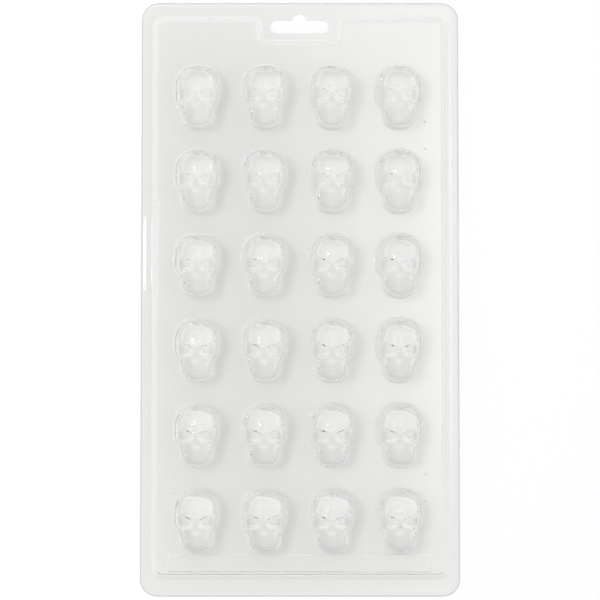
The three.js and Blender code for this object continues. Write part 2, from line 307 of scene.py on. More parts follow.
lean = math.asin((SLOT_HALF_HEIGHT + CROWN_FLARE - CROWN_MIDDLE) / (CROWN_RADIUS + CROWN_FLARE))
flare_x = (CROWN_RADIUS + CROWN_FLARE) * math.cos(lean)
flare_y = SLOT_HALF_HEIGHT + CROWN_FLARE
end_x = SLOT_HALF_LENGTH - SLOT_HALF_HEIGHT
quarter = math.pi / 2
slot_points = (
    arc((end_x, 0), SLOT_HALF_HEIGHT, -quarter, quarter, 12)
    + arc((flare_x, flare_y), CROWN_FLARE, -quarter, -math.pi + lean, 4)
    + arc((0, CROWN_MIDDLE), CROWN_RADIUS, lean, math.pi - lean, 10)
    + arc((-flare_x, flare_y), CROWN_FLARE, -lean, -quarter, 4)
    + arc((-end_x, 0), SLOT_HALF_HEIGHT, quarter, 3 * quarter, 12)
)
slot_points = np.array(slot_points) + (TAB_MIDDLE, SLOT_MIDDLE)
slot = start_ring("slot", slot_points, FLANGE_TOP_FACE)
finish_rings(slot)

# %% [markdown]
# ## The plain strip
#
# A plain rounded strip stands 0.5 mm proud of the panel along its lower edge. An inset and
# an extrude would give it sharp corners. So it is a ring that steps up in a soft curve, and
# its inside is filled with one flat face.

# %% Strip
STRIP_RELIEF = 0.5
STRIP_TOP = -133.35
STRIP_HALF_LENGTH = 69.0
STRIP_CORNER = 2
STRIP_CLEAR_OF_STEP = 0.85
STRIP_FLAT_OUTSIDE = 0.1
STRIP_PROFILE = ((0, 0), (0.2, 0.16), (0.4, 0.56), (0.6, 0.9), (0.8, 1), (1.0, 1))


def strip_outline(inside):
    """The strip's outline, drawn in by inside mm."""
    radius = STRIP_CORNER - inside
    side, top = STRIP_HALF_LENGTH - inside, STRIP_TOP - inside
    bottom = CREST_BOTTOM + STRIP_CLEAR_OF_STEP + inside
    corners = [(-side, bottom), (side, bottom), (side, top), (-side, top)]
    return rounded_outline([(x, y, radius) for x, y in corners], steps=5)


strip = start_ring("strip", strip_outline(-STRIP_FLAT_OUTSIDE), PANEL_TOP_FACE)
for inside, share in STRIP_PROFILE:
    next_ring(strip, strip_outline(inside), PANEL_TOP_FACE + STRIP_RELIEF * share)
bpy.ops.mesh.edge_face_add()
finish_rings(strip)

# %% [markdown]
# ## The pips
#
# Eight small round pips stand beside the grid in pairs, where the tool's vent plugs were.
# Each is a ring of twelve vertices that steps up to a small flat top, since a half ball
# would be too round for a formed sheet. One is modelled at the origin and copied.

# %% Pips
PIP_PLACES = [
    (-65.6, 96.5), (-65.6, 82.4), (-65.6, -87.7), (-65.6, -101.8),
    (65.6, 92.4), (65.6, 78.3), (65.6, -91.8), (65.6, -105.9),
]
PIP_SIDES = 12
PIP_FOOT_RADIUS = 1.05
PIP_PROFILE = ((0.95, 0), (0.8, 0.1), (0.55, 0.34), (0.3, 0.48))


def circle_points(radius, count):
    """Points at equal distances on a circle round the origin."""
    turns = 2 * math.pi * np.arange(count) / count
    return radius * np.stack([np.cos(turns), np.sin(turns)], axis=1)


pip = start_ring("pip", circle_points(PIP_FOOT_RADIUS, PIP_SIDES), PANEL_TOP_FACE)
for radius, rise in PIP_PROFILE:
    next_ring(pip, circle_points(radius, PIP_SIDES), PANEL_TOP_FACE + rise)
bpy.ops.mesh.edge_face_add()
finish_rings(pip)


def copy_to(original, places):
    """A copy of the original, with its own mesh, at each place in mm; the original goes."""
    copies = []
    for x, y in places:
        copy = original.copy()
        copy.data = original.data.copy()
        bpy.context.collection.objects.link(copy)
        for vertex in copy.data.vertices:
            vertex.co += Vector((x, y, 0)) * MM
        copies.append(copy)
    bpy.data.objects.remove(original)
    return copies


pips = copy_to(pip, PIP_PLACES)
print("pips", len(pips))

# %% [markdown]
# ## The skull's outline
#
# Seen from above, a skull is an oval cranium with a narrower jaw, and a small step under
# the cheekbones. It could be traced by hand, but half of it from a few curves, mirrored, is
# sure to be even. The points are first laid closely along that line, then softened, since
# the sheet rounds every corner.

# %% Outline of the skull
CLOSE_POINTS = 800
SOFTENED_POINTS = 6
CRANIUM_POWER = 0.889


def resample(points, count):
    """As many points at equal distances along a closed line."""
    closed = np.vstack([points, points[:1]])
    along = np.r_[0, np.cumsum(np.linalg.norm(np.diff(closed, axis=0), axis=1))]
    places = np.arange(count) * along[-1] / count
    return np.stack([np.interp(places, along, closed[:, axis]) for axis in (0, 1)], axis=1)


def soften(points, reach):
    """Each point averaged with its neighbours, the nearest ones counting most."""
    result = np.zeros_like(points)
    weights = np.exp(-0.5 * (np.arange(-3 * reach, 3 * reach + 1) / reach) ** 2)
    for weight, shift in zip(weights, range(-3 * reach, 3 * reach + 1)):
        result += weight * np.roll(points, shift, axis=0)
    return result / weights.sum()


turn = np.linspace(0, math.pi / 2, 60)
cranium = np.stack(
    [
        -12.1 * np.sin(turn) ** CRANIUM_POWER,
        5.0 + 11.9 * np.cos(turn).clip(0) ** CRANIUM_POWER,
    ],
    axis=1,
)
cheek = np.array([(-12.1, 1.5), (-11.75, -3.0), (-9.25, -5.9), (-8.6, -9.5)])
chin = np.stack([-8.35 * np.cos(turn), -11.5 - 5.4 * np.sin(turn)], axis=1)
left_half = np.vstack([cranium, cheek, chin])
whole = np.vstack([left_half, left_half[-2:0:-1] * (-1, 1)])
fine_outline = soften(resample(whole, CLOSE_POINTS), SOFTENED_POINTS)
print("skull in mm", np.ptp(fine_outline, axis=0).round(2))

# %% [markdown]
# ## The skull's form
#
# The height above the panel is the lower of two surfaces, blended softly where they meet:
# the steep draft wall that rises from the outline, and the head's own form. The head is a
# cranium and a jaw, with brows, eye sockets, cheekbones, a nose opening, teeth and a chin.
# Sculpting by hand would give the same kind of form, but a formula is the same each run.

# %% Blends and hollows
def soft_min(a, b, reach):
    """The lower of two heights, rounded where they are nearer than reach."""
    share = np.clip(0.5 + 0.5 * (b - a) / reach, 0, 1)
    return b * (1 - share) + a * share - reach * share * (1 - share)


def soft_max(a, b, reach):
    """The higher of two heights, rounded in the same way."""
    return -soft_min(-a, -b, reach)


def mound(x, y, middle, reach, height):
    """A smooth mound, or a hollow where the height is negative."""
    across, along = (x - middle[0]) / reach[0], (y - middle[1]) / reach[1]
    return height * np.exp(-(across**2) - along**2)


def inside_edge(distance, width):
    """Climbs from 0 to 1 as distance goes from -width to width."""
    t = np.clip(0.5 + 0.5 * distance / width, 0, 1)
    return t * t * (3 - 2 * t)


# %% [markdown]
# ## The head
#
# The head is built up like clay on a board. The cranium and the jaw are the two large
# lumps. Small mounds and hollows are then added for the cheeks, brows, eye sockets, nose,
# teeth and chin, each with its place and reach in mm. All but the middle ones use the
# distance from the middle line, so both halves are alike.

# %% The head's form
JAW_LINE = np.array(
    [
        (-17, 5.6), (-15, 6.0), (-13, 6.6), (-11, 7.5), (-9.5, 8.3),
        (-7, 9.0), (-5, 9.5), (-3, 9.9), (2, 9.9), (12, 2.0),
    ]
)
TOOTH_PITCH = 1.9


def head_form(x, y):
    """Height of the head above the panel in mm, without its draft wall."""
    side = np.abs(x)
    spread = (x / 11.0) ** 2 + ((y - 5.0) / 12.0) ** 2
    cranium = 11.2 - 4.1 * spread - 1.3 * spread**2
    ridge = np.interp(y, JAW_LINE[:, 0], JAW_LINE[:, 1])
    jaw = 6.0 + (ridge - 6.0) * (1 - (side / 7.8) ** 2.6)
    head = soft_max(cranium, jaw, 1.2)
    # Cheekbones, then brows and the sockets under them
    head += mound(side, y, (6.6, -3.8), (2.6, 1.3), 0.6)
    brow_line = 0.9 + 0.36 * (side - 2.2)
    head += 0.45 * np.exp(-(((y - brow_line - 0.9) / 0.9) ** 2)) * inside_edge(8.6 - side, 1.5)
    socket = (
        inside_edge(brow_line - y, 1.1)
        * inside_edge(y + 2.8 - 0.1 * (side - 5.6) ** 2, 1.2)
        * inside_edge(side - 2.1, 0.9)
        * inside_edge(7.7 - side, 1.6)
    )
    head -= 1.7 * socket
    head += mound(side, y, (5.4, -0.6), (1.6, 1.0), 0.5)
    # Bridge of the nose and its opening
    head += mound(x, y, (0, -0.4), (1.3, 2.4), 0.45)
    nose_width = np.interp(y, [-6.8, -5.6, -4.4, -2.4], [0.6, 1.6, 1.4, 0.5])
    nose = inside_edge(nose_width - side, 0.8) * inside_edge(y + 6.3, 0.8)
    head -= 1.2 * nose * inside_edge(-2.6 - y, 0.7)
    # Gaps between the teeth, the bite line, and the chin
    teeth = inside_edge(y + 11.4, 0.5) * inside_edge(-7.3 - y, 0.6) * inside_edge(6.3 - side, 0.8)
    nearest_gap = side - TOOTH_PITCH * np.round(side / TOOTH_PITCH)
    head -= 0.42 * teeth * np.exp(-((nearest_gap / 0.42) ** 2))
    head -= 0.42 * teeth * np.exp(-(((y + 9.5) / 0.45) ** 2))
    head += mound(x, y, (0, -11.6), (2.6, 0.8), -0.45)
    head += mound(x, y, (0, -13.5), (4.6, 0.9), 0.3)
    return head


print("height at the middle of the forehead in mm", round(float(head_form(0.0, 5.0)), 2))

# %% [markdown]
# ## The draft wall
#
# A formed wall never stands upright, or the sheet would lock on its tool. It leans in as it
# rises, a little more at the crown. The shoulder above it is rounder at the chin and at the
# crown than at the sides.

# %% Draft wall
WALL_HEIGHT = 6.0
WALL_RUN = 1.4
WALL_RUN_MORE_AT_CROWN = 0.1
SHOULDER = 1.2
SHOULDER_MORE_AT_CHIN = 0.7
SHOULDER_MORE_AT_CROWN = 0.3
TALLEST = 11.3


def outward_normals(points):
    """The direction out of a closed line at each of its points."""
    along = np.roll(points, -1, axis=0) - np.roll(points, 1, axis=0)
    along /= np.linalg.norm(along, axis=1, keepdims=True)
    normals = np.stack([along[:, 1], -along[:, 0]], axis=1)
    return -normals if np.sum(normals * points) < 0 else normals


def wall_run_at(to_crown):
    """How far the wall leans in, in mm, where it faces the crown by that share."""
    return WALL_RUN + WALL_RUN_MORE_AT_CROWN * np.clip(to_crown, 0, 1)


outline_normals = outward_normals(fine_outline)


def skull_height(points):
    """Height above the panel in mm at each point inside the skull's outline."""
    gaps = np.linalg.norm(points[:, None, :] - fine_outline[None], axis=2)
    nearest = gaps.argmin(axis=1)
    inward = gaps[np.arange(len(points)), nearest]
    to_crown = outline_normals[nearest, 1]
    shoulder = (
        SHOULDER
        + SHOULDER_MORE_AT_CHIN * np.clip(-to_crown, 0, 1)
        + SHOULDER_MORE_AT_CROWN * np.clip(to_crown, 0, 1)
    )
    wall = WALL_HEIGHT * inward / wall_run_at(to_crown)
    head = head_form(points[:, 0], points[:, 1])
    return np.minimum(soft_min(wall, head, shoulder), TALLEST)


highest = skull_height(np.array([[0.0, 5.0], [0.0, 2.0]])).max()
print("highest form in mm", round(float(highest), 2))

# %% [markdown]
# ## One skull
#
# The rings start just outside the outline, on the flat panel. They go round the small bend
# at the foot, up the draft wall and over the shoulder. A subdivided ball pressed to this
# shape would crowd its faces at the foot, where rings follow the wall.

# %% Rings of the skull
SKULL_POINTS = 80
FOOT_RADIUS = 0.8
FLAT_OUTSIDE_FOOT = 0.12
SHARES_OF_WALL_RUN = (0.62, 0.86, 1.05, 1.3, 1.65, 2.1)
EASES = (0, 0.1, 0.15, 0.25, 0.4, 0.5)

wall_slope = math.atan2(WALL_HEIGHT, WALL_RUN)
foot_tangent = FOOT_RADIUS * math.tan(wall_slope / 2)


def drawn_in(points, distance, ease):
    """A closed line moved inwards by distance, and eased so that it never crosses itself."""
    moved = points - outward_normals(points) * np.reshape(distance, (-1, 1))
    middle = (np.roll(moved, 1, axis=0) + np.roll(moved, -1, axis=0)) / 2
    return moved * (1 - ease) + middle * ease


base = resample(fine_outline, SKULL_POINTS)
first_line = drawn_in(base, -foot_tangent - FLAT_OUTSIDE_FOOT, 0)
skull = start_ring("skull", first_line, PANEL_TOP_FACE)
for turn in (0, wall_slope / 2, wall_slope):
    offset = -foot_tangent + FOOT_RADIUS * math.sin(turn)
    rise = FOOT_RADIUS * (1 - math.cos(turn))
    next_ring(skull, drawn_in(base, offset, 0), PANEL_TOP_FACE + rise)

line = base
reached = np.zeros(SKULL_POINTS)
wall_runs = wall_run_at(outward_normals(base)[:, 1])
for share, ease in zip(SHARES_OF_WALL_RUN, EASES):
    line = drawn_in(line, share * wall_runs - reached, ease)
    reached = share * wall_runs
    next_ring(skull, line, PANEL_TOP_FACE + skull_height(line))
print("rings done, faces", len(skull.data.polygons))

# %% [markdown]
# ## The face of the skull
#
# The opening inside the last ring is filled with a grid. A fan of triangles would fill it as
# well, but would have nothing to carve. The offset turns the grid until it is symmetrical,
# and many small smoothing steps even out its cells. It is divided once more where the face
# has its fine forms. Then every vertex is lifted to the form.

# %% Face of the skull
GRID_SPAN = 16
GRID_OFFSET = 6
GRID_SMOOTHING_STEPS = 400
RINGS_AT_FOOT = 3
FACE_HALF_WIDTH = 8.8
FACE_TOP = 4.6
FACE_BOTTOM = -12.8

rim_count = len(skull.data.vertices)
bpy.ops.mesh.fill_grid(span=GRID_SPAN, offset=GRID_OFFSET)
bpy.ops.object.mode_set(mode="OBJECT")
for vertex in skull.data.vertices:
    vertex.select = vertex.index >= rim_count
bpy.ops.object.mode_set(mode="EDIT")
bpy.ops.mesh.vertices_smooth(factor=0.5, repeat=GRID_SMOOTHING_STEPS)
bpy.ops.mesh.select_all(action="DESELECT")
bpy.ops.object.mode_set(mode="OBJECT")
bpy.context.tool_settings.mesh_select_mode = (False, False, True)
first_grid_face = SKULL_POINTS * (RINGS_AT_FOOT + len(SHARES_OF_WALL_RUN))
for face in skull.data.polygons[first_grid_face:]:
    x, y, _ = face.center / MM
    face.select = abs(x) < FACE_HALF_WIDTH and FACE_BOTTOM < y < FACE_TOP
bpy.ops.object.mode_set(mode="EDIT")
bpy.ops.mesh.subdivide(number_cuts=1)
bpy.ops.mesh.select_all(action="DESELECT")
bpy.ops.object.mode_set(mode="OBJECT")
bpy.context.tool_settings.mesh_select_mode = (True, False, False)
grid_vertices = skull.data.vertices[rim_count:]
grid_points = np.array([vertex.co[:2] for vertex in grid_vertices]) / MM
for vertex, height in zip(grid_vertices, skull_height(grid_points)):
    vertex.co.z = (PANEL_TOP_FACE + height) * MM
bpy.ops.object.select_all(action="DESELECT")
print("one skull: faces", len(skull.data.polygons), "inner vertices", len(grid_vertices))

# %% [markdown]
# ## Twenty-four skulls
#
# The skulls stand in four columns and six rows. An array modifier would do for a plain
# grid, but copies with their own mesh can be joined to the sheet at once.

# %% Places of the skulls
COLUMNS, COLUMN_PITCH, COLUMNS_MIDDLE = 4, 35.15, -1
ROWS, ROW_PITCH, LOWEST_ROW = 6, 44.2909, -116.0

column_places = [COLUMNS_MIDDLE + COLUMN_PITCH * (k - (COLUMNS - 1) / 2) for k in range(COLUMNS)]
row_places = [LOWEST_ROW + ROW_PITCH * k for k in range(ROWS)]
skulls = copy_to(skull, [(x, y) for y in row_places for x in column_places])
print("skulls", len(skulls))

# %% [markdown]
# ## One sheet
#
# The parts are joined, and the two flat areas are filled: the panel between the step and
# the skulls, and the flange between the edge, the step and the slot. Fill works on closed
# lines and leaves their insides open, so the skulls and the slot stay as they are.

# %% Join and fill
LEVEL_WITHIN = 0.01

for piece in [step, edge, slot, strip, *pips, *skulls]:
    piece.select_set(True)
bpy.context.view_layer.objects.active = step
bpy.ops.object.join()
sheet = bpy.context.object
sheet.name = sheet.data.name = "mould_sheet"


def select_open_lines(height):
    """Selects the open edges at one height in mm, but not the sheet's trimmed edge."""
    bpy.context.tool_settings.mesh_select_mode = (False, True, False)
    bpy.ops.object.mode_set(mode="EDIT")
    bpy.ops.mesh.select_all(action="DESELECT")
    bpy.ops.mesh.select_non_manifold(
        use_wire=True, use_boundary=True, use_multi_face=False,
        use_non_contiguous=False, use_verts=False,
    )
    bpy.ops.object.mode_set(mode="OBJECT")
    vertices, number = sheet.data.vertices, sheet.data.attributes["number"].data
    chosen = 0
    for line in sheet.data.edges:
        ends = line.vertices
        level = all(abs(vertices[i].co.z / MM - height) < LEVEL_WITHIN for i in ends)
        line.select = line.select and level and all(number[i].value != TRIMMED for i in ends)
        chosen += line.select
    return chosen


for area, height in (("panel", PANEL_TOP_FACE), ("flange", FLANGE_TOP_FACE)):
    open_edges = select_open_lines(height)
    bpy.ops.object.mode_set(mode="EDIT")
    bpy.ops.mesh.fill(use_beauty=True)
    bpy.ops.object.mode_set(mode="OBJECT")
    print(area, "filled between", open_edges, "open edges; faces", len(sheet.data.polygons))

# %% [markdown]
# ## Which way the faces look
#
# The rings and the filled areas were made in different ways, so some faces look up and some
# down. They could be turned one by one. The operator makes them agree, and the largest flat
# face says whether all have to be turned. This comes before the sheet gets its thickness,
# which goes to the back of each face.

# %% Normals
bpy.ops.object.mode_set(mode="EDIT")
bpy.ops.mesh.select_all(action="SELECT")
bpy.ops.mesh.normals_make_consistent(inside=False)
bpy.ops.object.mode_set(mode="OBJECT")
largest = max(sheet.data.polygons, key=lambda face: face.area)
all_turned = largest.normal.z < 0
if all_turned:
    sheet.data.flip_normals()
print("all faces turned over:", all_turned)

# %% [markdown]
# ## Thickness
#
# The stock is 0.6 mm thick. Where it is drawn up into a skull the same plastic covers more
# area, so it is thinner there, down to 85 % here. A Solidify modifier adds the underside,
# and a vertex group holds how thick the wall is. The form above is the upper face, so the
# wall goes downwards and the underside of the flange comes to lie at 0. The outermost
# vertices of the upper face are then lowered a little, where the punch rounded the cut.

# %% Thickness
DRAWN_SHARE = 0.85
DRAWN_FROM, DRAWN_TO = 0.02, 0.4
SMOOTH_BELOW_DEGREES = 60

wall_group = sheet.vertex_groups.new(name="wall")
for vertex in sheet.data.vertices:
    above_panel = vertex.co.z / MM - PANEL_TOP_FACE
    drawn = min(max((above_panel - DRAWN_FROM) / (DRAWN_TO - DRAWN_FROM), 0), 1)
    wall_group.add([vertex.index], 1 - (1 - DRAWN_SHARE) * drawn, "REPLACE")
solidify = sheet.modifiers.new("wall", "SOLIDIFY")
solidify.thickness = SHEET_THICKNESS * MM
solidify.offset = -1
solidify.use_even_offset = False
solidify.use_rim = True
solidify.vertex_group = "wall"
solidify.thickness_vertex_group = 0
bpy.context.view_layer.objects.active = sheet
bpy.ops.object.modifier_apply(modifier="wall")
for vertex, mark in zip(sheet.data.vertices, sheet.data.attributes["number"].data):
    if mark.value == TRIMMED and vertex.co.z > SHEET_THICKNESS / 2 * MM:
        vertex.co.z -= CUT_ROUNDING_DROP * MM
sheet.vertex_groups.clear()
sheet.data.attributes.remove(sheet.data.attributes["number"])
sheet.select_set(True)
bpy.ops.object.shade_smooth_by_angle(angle=math.radians(SMOOTH_BELOW_DEGREES))
bpy.ops.object.select_all(action="DESELECT")
sheet.data.calc_loop_triangles()
heights = np.array([vertex.co.z for vertex in sheet.data.vertices]) / MM
print("triangles", len(sheet.data.loop_triangles), "height in mm", heights.min(), heights.max())

# %% [markdown]
# ## Clear formed plastic
#
# Mould stock of this kind is clear PET, drawn in a vacuum. It is glossy and all but without
# colour, and its refractive index is 1.57. A transparent shader alone would lose the bent
# light at the shoulders, so the body of the material is a fully transmitting plastic.
#
# The helpers come first. One turns an sRGB hex colour to linear, one adds any node with its
# settings and links, and one starts an empty material.

# %% Colours and nodes
def from_srgb(code):
    """Linear red, green, blue and alpha from an sRGB hex colour."""
    parts = [int(code[i : i + 2], 16) / 255 for i in (1, 3, 5)]
    linear = [c / 12.92 if c <= 0.04045 else ((c + 0.055) / 1.055) ** 2.4 for c in parts]
    return (*linear, 1.0)


def add_node(tree, kind, inputs=None, **settings):
    """Adds a node, sets its properties, and sets or links its inputs."""
    made = tree.nodes.new(kind)
    for name, value in settings.items():
        setattr(made, name, value)
    for name, value in (inputs or {}).items():
        if isinstance(value, bpy.types.NodeSocket):
            tree.links.new(value, made.inputs[name])
        else:
            made.inputs[name].default_value = value
    return made


def new_material(name):
    """A material without nodes, and its node tree."""
    material = bpy.data.materials.new(name)
    material.use_nodes = True
    material.node_tree.nodes.clear()
    return material, material.node_tree


print("mid grey is", [round(c, 3) for c in from_srgb("#808080")])

# %% [markdown]
# ## Ripples, grain and tool marks
#
# Drawing and cooling leave shallow ripples some centimetres long. The tool's blasted face
# leaves a fine grain, and the cutter that carved the skulls leaves marks on their faces. All
# are too shallow to model, so noise patterns tilt the light in the material, at their sizes
# in millimetres. The real grain is finer, and is drawn as coarse as it needs to show.

# %% Surface of the sheet
RIPPLE_LENGTH, RIPPLE_HEIGHT = 28, 0.12
GRAIN_LENGTH, GRAIN_HEIGHT = 1.6, 0.004
TOOL_MARK_LENGTH, TOOL_MARK_HEIGHT = 1.5, 0.18
FACES_FROM, FACES_FULLY_FROM = 10.0, 11.6

clear_pet, tree = new_material("clear_formed_pet_sheet")
place = add_node(tree, "ShaderNodeTexCoord").outputs["Object"]
height = add_node(tree, "ShaderNodeSeparateXYZ", {0: place}).outputs["Z"]
on_face = add_node(
    tree, "ShaderNodeMapRange",
    {"Value": height, "From Min": FACES_FROM * MM, "From Max": FACES_FULLY_FROM * MM},
)
surface = None
for length, depth, detail, roughness, strength in (
    (RIPPLE_LENGTH, RIPPLE_HEIGHT, 1.0, 0.4, 1.0),
    (GRAIN_LENGTH, GRAIN_HEIGHT, 2.0, 0.5, 1.0),
    (TOOL_MARK_LENGTH, TOOL_MARK_HEIGHT, 1.0, 0.5, on_face.outputs[0]),
):
    pattern = add_node(
        tree, "ShaderNodeTexNoise",
        {"Vector": place, "Scale": 1000 / length, "Detail": detail, "Roughness": roughness},
    )
    relief = {"Height": pattern.outputs[0], "Strength": strength, "Distance": depth * MM}
    if surface is not None:
        relief["Normal"] = surface
    surface = add_node(tree, "ShaderNodeBump", relief).outputs[0]
print("patterns of", RIPPLE_LENGTH, GRAIN_LENGTH, TOOL_MARK_LENGTH, "mm")

# %% [markdown]
# ## Painted shade at the edge
#
# Along the cut edge of the sheet lies a thin dark line of shade. It is painted here: the
# colour turns greyer over the outermost 0.7 mm. It could be a piece of its own, but the sheet
# is one piece. So the colour changes by the distance to the rounded outline: how far a place
# lies beyond the middles of the corners.

# %% Painted edge shade
SHADED_EDGE_WIDTH = 0.7

corner_middles = (
    (SHEET_WIDTH / 2 - SHEET_CORNER) * MM,
    (SHEET_LENGTH / 2 - SHEET_CORNER) * MM,
    1.0,
)
beyond = place
for operation, other in (
    ("ABSOLUTE", (0, 0, 0)),
    ("SUBTRACT", corner_middles),
    ("MAXIMUM", (0, 0, 0)),
):
    beyond = add_node(
        tree, "ShaderNodeVectorMath", {0: beyond, 1: other}, operation=operation
    ).outputs[0]
beyond = add_node(tree, "ShaderNodeVectorMath", {0: beyond}, operation="LENGTH")
edge_shade = add_node(
    tree, "ShaderNodeMapRange",
    {
        "Value": beyond.outputs["Value"],
        "From Min": (SHEET_CORNER - SHADED_EDGE_WIDTH) * MM,
        "From Max": (SHEET_CORNER - SHADED_EDGE_WIDTH / 2) * MM,
    },
)
# Painted shade: the colour turns grey over the outermost 0.7 mm, for the dark line along the cut
# edge.
tint_and_edge_shade = add_node(
    tree, "ShaderNodeMix",
    {"Factor": edge_shade.outputs[0], "A": from_srgb("#fafaf8"), "B": from_srgb("#d4d4d1")},
    data_type="RGBA",
)
plastic = add_node(
    tree, "ShaderNodeBsdfPrincipled",
    {
        "Base Color": tint_and_edge_shade.outputs["Result"],
        "Roughness": 0.04,
        "IOR": 1.57,
        "Transmission Weight": 1.0,
        "Normal": surface,
    },
)
print("edge", SHADED_EDGE_WIDTH, "mm wide, corner middles", [round(c, 4) for c in corner_middles[:2]])

# %% [markdown]
# ## Light that passes the sheet
#
# Glass in a renderer blocks lamps and gives black shadows. So shadow rays and diffuse rays
# meet a plain transparent shader, which takes away as much light as the sheet does. It takes
# more where they meet the sheet at a slant, and most on the walls of the skulls, which gives
# each skull its soft halo.
#
# Light is also led along inside a clear sheet until a scratch or an edge lets it out. Traced
# to the end it turns black when the bounces run out. So after four bounces it leaves too.

# %% Light that passes
PASSED_STRAIGHT = 0.955
PASSED_AT_SLANT, PASSED_AT_SLANT_ON_WALLS = 0.85, 0.5
WALLS_FROM, WALLS_FULLY_FROM = 4.0, 5.5
PASSED_ON_FLANGE, PASSED_ON_PANEL = 0.98, 0.965
FLANGE_UP_TO, PANEL_FROM = 0.7, 3.0
LED_ALONG_DEPTH = 3.5
LED_ALONG_SHARE = 0.9

slant = add_node(tree, "ShaderNodeLayerWeight", {"Blend": 0.5}).outputs["Facing"]
least = add_node(
    tree, "ShaderNodeMapRange",
    {
        "Value": height,
        "From Min": WALLS_FROM * MM,
        "From Max": WALLS_FULLY_FROM * MM,
        "To Min": PASSED_AT_SLANT,
        "To Max": PASSED_AT_SLANT_ON_WALLS,
    },
)
by_slant = add_node(
    tree, "ShaderNodeMapRange",
    {
        "Value": slant,
        "From Min": 0.1,
        "From Max": 0.8,
        "To Min": PASSED_STRAIGHT,
        "To Max": least.outputs[0],
    },
)
by_height = add_node(
    tree, "ShaderNodeMapRange",
    {
        "Value": height,
        "From Min": FLANGE_UP_TO * MM,
        "From Max": PANEL_FROM * MM,
        "To Min": PASSED_ON_FLANGE,
        "To Max": PASSED_ON_PANEL,
    },
)
path = add_node(tree, "ShaderNodeLightPath").outputs
led_along = add_node(
    tree, "ShaderNodeMath", {0: path["Ray Depth"], 1: LED_ALONG_DEPTH}, operation="GREATER_THAN"
).outputs[0]
led_out = add_node(
    tree, "ShaderNodeMath", {0: led_along, 1: LED_ALONG_SHARE}, operation="MULTIPLY"
)
passed = add_node(
    tree, "ShaderNodeMath", {0: by_slant.outputs[0], 1: by_height.outputs[0]}, operation="MULTIPLY"
)
passed = add_node(
    tree, "ShaderNodeMath", {0: passed.outputs[0], 1: led_out.outputs[0]}, operation="MAXIMUM"
)
passing = add_node(tree, "ShaderNodeBsdfTransparent", {"Color": passed.outputs[0]})
goes_through = led_along
for kind in ("Is Shadow Ray", "Is Diffuse Ray"):
    goes_through = add_node(
        tree, "ShaderNodeMath", {0: goes_through, 1: path[kind]}, operation="MAXIMUM"
    ).outputs[0]
both = add_node(
    tree, "ShaderNodeMixShader",
    {0: goes_through, 1: plastic.outputs[0], 2: passing.outputs[0]},
)
add_node(tree, "ShaderNodeOutputMaterial", {"Surface": both.outputs[0]})
sheet.data.materials.clear()
sheet.data.materials.append(clear_pet)
print("material", clear_pet.name, "nodes", len(tree.nodes))

# %% [markdown]
# ## The stage
#
# The floor is a plain white table. Most of its white is paint that the lamps light, so the
# sheet's shadow stays. A little is its own light, for rays that come from the camera or by
# way of the sheet, which lifts it to white. A stronger lamp would do that as well, but it
# would wash out the shadow.

# %% Floor
FLOOR_SIZE = 6
FLOOR_BELOW = 0.1
FLOOR_OWN_LIGHT = 0.12

bpy.ops.mesh.primitive_plane_add(size=FLOOR_SIZE, location=(0, 0, -FLOOR_BELOW * MM))
floor = bpy.context.object
floor.name = "floor"
floor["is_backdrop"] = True
white_table, tree = new_material("white_painted_table")
path = add_node(tree, "ShaderNodeLightPath").outputs
seen = path["Is Camera Ray"]
for kind in ("Is Glossy Ray", "Is Transmission Ray"):
    seen = add_node(
        tree, "ShaderNodeMath", {0: seen, 1: path[kind]}, operation="MAXIMUM"
    ).outputs[0]
own_light = add_node(tree, "ShaderNodeMath", {0: seen, 1: FLOOR_OWN_LIGHT}, operation="MULTIPLY")
paint = add_node(tree, "ShaderNodeBsdfDiffuse", {"Color": from_srgb("#f3f3f3")})
glow = add_node(tree, "ShaderNodeEmission", {"Strength": own_light.outputs[0]})
lit = add_node(tree, "ShaderNodeAddShader", {0: paint.outputs[0], 1: glow.outputs[0]})
add_node(tree, "ShaderNodeOutputMaterial", {"Surface": lit.outputs[0]})
floor.data.materials.append(white_table)
bpy.ops.object.select_all(action="DESELECT")
print("floor", floor.name)

# %% [markdown]
# ## How far light is traced
#
# The transparent shadow already stands for the light that the sheet lets through, so light
# isn't traced through the sheet to the table a second time, as a caustic. Sixteen bounces
# are enough for the rays that cross several walls at a low angle.

# %% Bounces
LIGHT_BOUNCES = 16

cycles = bpy.context.scene.cycles
cycles.caustics_refractive = False
cycles.caustics_reflective = False
cycles.max_bounces = LIGHT_BOUNCES
cycles.transmission_bounces = LIGHT_BOUNCES
cycles.glossy_bounces = LIGHT_BOUNCES
print("bounces", cycles.max_bounces, "and no caustics")

# %% [markdown]
# ## Lamps
#
# A softbox stands high at the left, 27 degrees off the vertical. Its soft shadows fall to
# the right of each skull and a little down. A sun lamp would give them hard edges. The
# softbox isn't mirrored in the plastic, which would show it as one hard white shape. A
# second, small lamp gives the few sharp highlights.

# %% Softbox and small lamp
LAMP_DISTANCE = 4.0
SOFTBOX_SHARE = 0.4
SOFTBOX_DIRECTION = Vector((-0.42, 0.16, 0.9)).normalized()
SOFTBOX_SIZE = (1.8, 2.2)
HIGHLIGHT_DIRECTION = Vector((-0.28, 0.08, 0.955)).normalized()
HIGHLIGHT_SIZE = (0.2, 0.4)
HIGHLIGHT_WATTS = 5.0


def area_lamp(name, toward, size, watts):
    """A lamp that faces the mould from the given direction."""
    data = bpy.data.lights.new(name, "AREA")
    data.shape = "RECTANGLE"
    data.size, data.size_y = size
    data.energy = watts
    lamp = bpy.data.objects.new(name, data)
    lamp.location = toward * LAMP_DISTANCE
    lamp.rotation_euler = toward.to_track_quat("Z", "Y").to_euler()
    lamp.visible_camera = False
    bpy.context.collection.objects.link(lamp)
    return lamp


